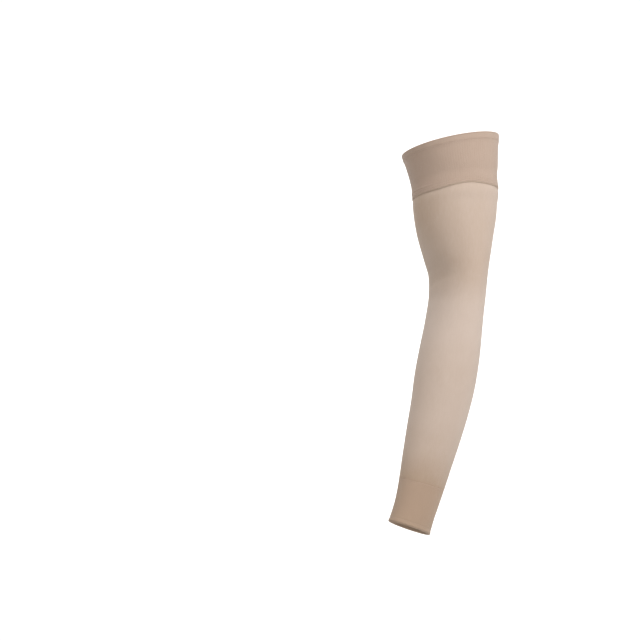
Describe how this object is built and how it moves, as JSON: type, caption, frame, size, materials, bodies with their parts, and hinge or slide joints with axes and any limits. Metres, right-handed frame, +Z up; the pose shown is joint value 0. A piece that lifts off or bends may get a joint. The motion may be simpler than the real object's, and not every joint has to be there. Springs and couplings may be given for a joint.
{
  "type": "arm compression sleeve",
  "caption": "Seamless knitted compression sleeve for the arm, from wrist cuff to a wide elastic band on the upper arm, in its worn shape.",
  "frame": {"origin": "centre of the upper opening, on the axis of the upper arm", "axes": "+Z up along the upper arm, -X to the front, which the elbow bends towards, -Y to the outer side of the left arm"},
  "size_m": [0.1331, 0.1031, 0.4359],
  "materials": {
    "body_knit": "matt fine knit",
    "band_knit": "matt elastic knit",
    "seam_thread": "matt thread",
    "cuff_knit": "matt dense knit"
  },
  "bodies": {
    "root": {"sleeve_body": "body_knit", "top_band": "band_knit", "band_seam": "seam_thread", "wrist_cuff": "cuff_knit"}
  },
  "joints": []
}
